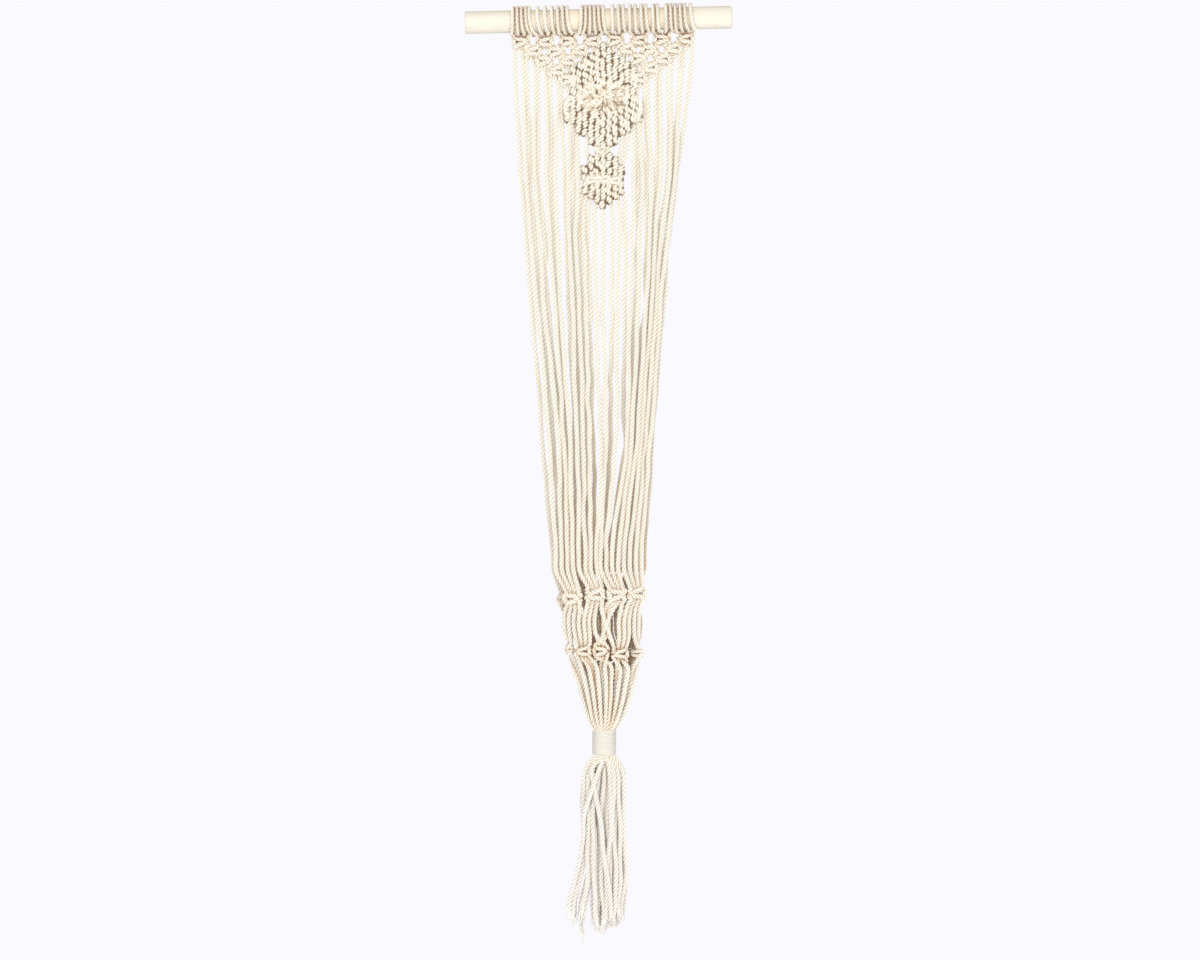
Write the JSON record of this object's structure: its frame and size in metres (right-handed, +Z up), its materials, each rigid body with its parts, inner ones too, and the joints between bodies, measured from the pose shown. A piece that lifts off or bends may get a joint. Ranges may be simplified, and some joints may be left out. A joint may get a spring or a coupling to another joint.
{
  "type": "macrame plant hanger on a wooden dowel",
  "caption": "Openwork plant hanger of knotted cotton cord that hangs from a round wooden dowel, with a narrow net pocket for a pot and a bound tassel below it.",
  "frame": {"origin": "middle of the dowel's axis, where a wall hook or loop holds the hanger up", "axes": "+Z up, +X to the right along the dowel as seen from the front, -Y towards the viewer"},
  "size_m": [0.2854, 0.0476, 1.0019],
  "materials": {
    "dowel_wood": "bare sanded pale softwood",
    "cotton_cord": "undyed three-ply twisted cotton cord, matt",
    "binding_thread": "fine undyed cotton thread, wound close"
  },
  "bodies": {
    "root": {"dowel": "dowel_wood", "net": "cotton_cord", "binding": "binding_thread", "tassel": "cotton_cord"}
  },
  "joints": []
}
